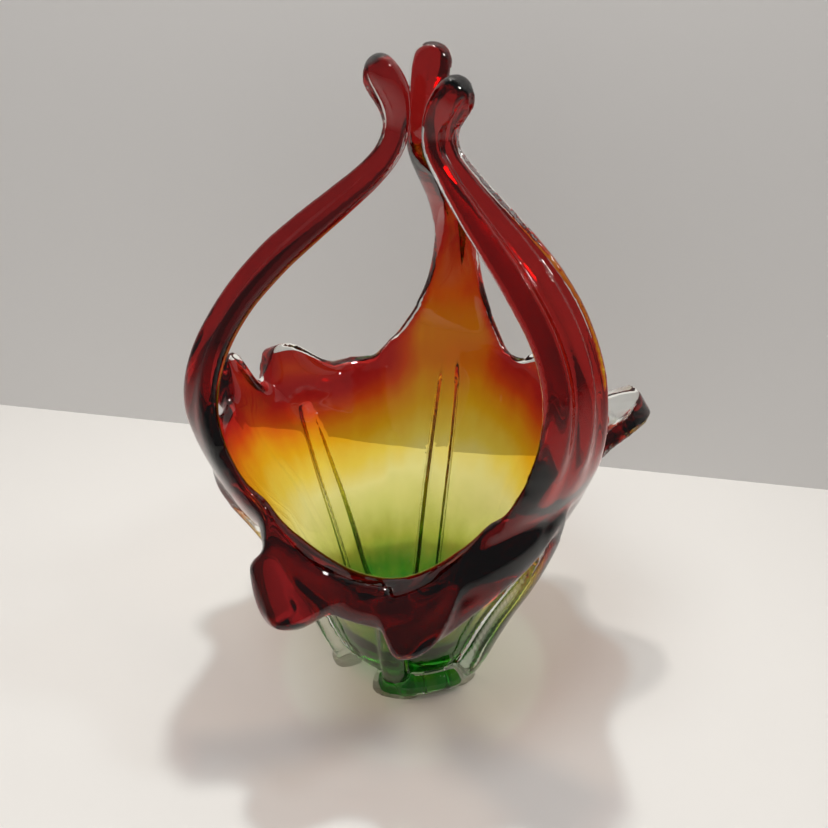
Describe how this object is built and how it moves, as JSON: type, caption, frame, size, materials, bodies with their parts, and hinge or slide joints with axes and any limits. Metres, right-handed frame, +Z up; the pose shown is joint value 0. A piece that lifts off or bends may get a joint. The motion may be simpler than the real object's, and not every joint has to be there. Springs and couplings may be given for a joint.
{
  "type": "art glass basket vase",
  "caption": "Footed glass vase: a deep fluted bowl in green to red cased glass, its rim pulled into folded lips and tall arms that arch inward and nearly meet above it.",
  "frame": {"origin": "on the resting plane, at the middle of the vase's bounding box seen from above", "axes": "+Z up from the feet to the arm tips; -Y is the front, where the rim dips lowest between two arms; +X to the right"},
  "size_m": [0.1891, 0.1725, 0.2682],
  "materials": {
    "clear_casing": "polished clear glass",
    "red_glass": "polished ruby red transparent glass",
    "orange_glass": "polished glass shading from red to amber",
    "amber_glass": "polished glass shading from amber to green",
    "green_glass": "polished green transparent glass",
    "rib_glass": "polished clear glass with a green cast"
  },
  "bodies": {
    "root": {"base_pad": "green_glass", "bowl_color": "amber_glass", "bowl_casing": "clear_casing", "shoulder_color": "orange_glass", "shoulder_casing": "clear_casing", "lip_front_color": "red_glass", "lip_front_casing": "clear_casing", "lip_left_color": "red_glass", "lip_left_casing": "clear_casing", "lip_right_color": "red_glass", "lip_right_casing": "clear_casing", "arm_back_core": "red_glass", "arm_back_casing": "clear_casing", "arm_left_core": "red_glass", "arm_left_casing": "clear_casing", "arm_right_core": "red_glass", "arm_right_casing": "clear_casing", "rib_front": "rib_glass", "rib_right_arm": "rib_glass", "rib_right": "rib_glass", "rib_back_arm": "rib_glass", "rib_left": "rib_glass", "rib_left_arm": "rib_glass"}
  },
  "joints": []
}
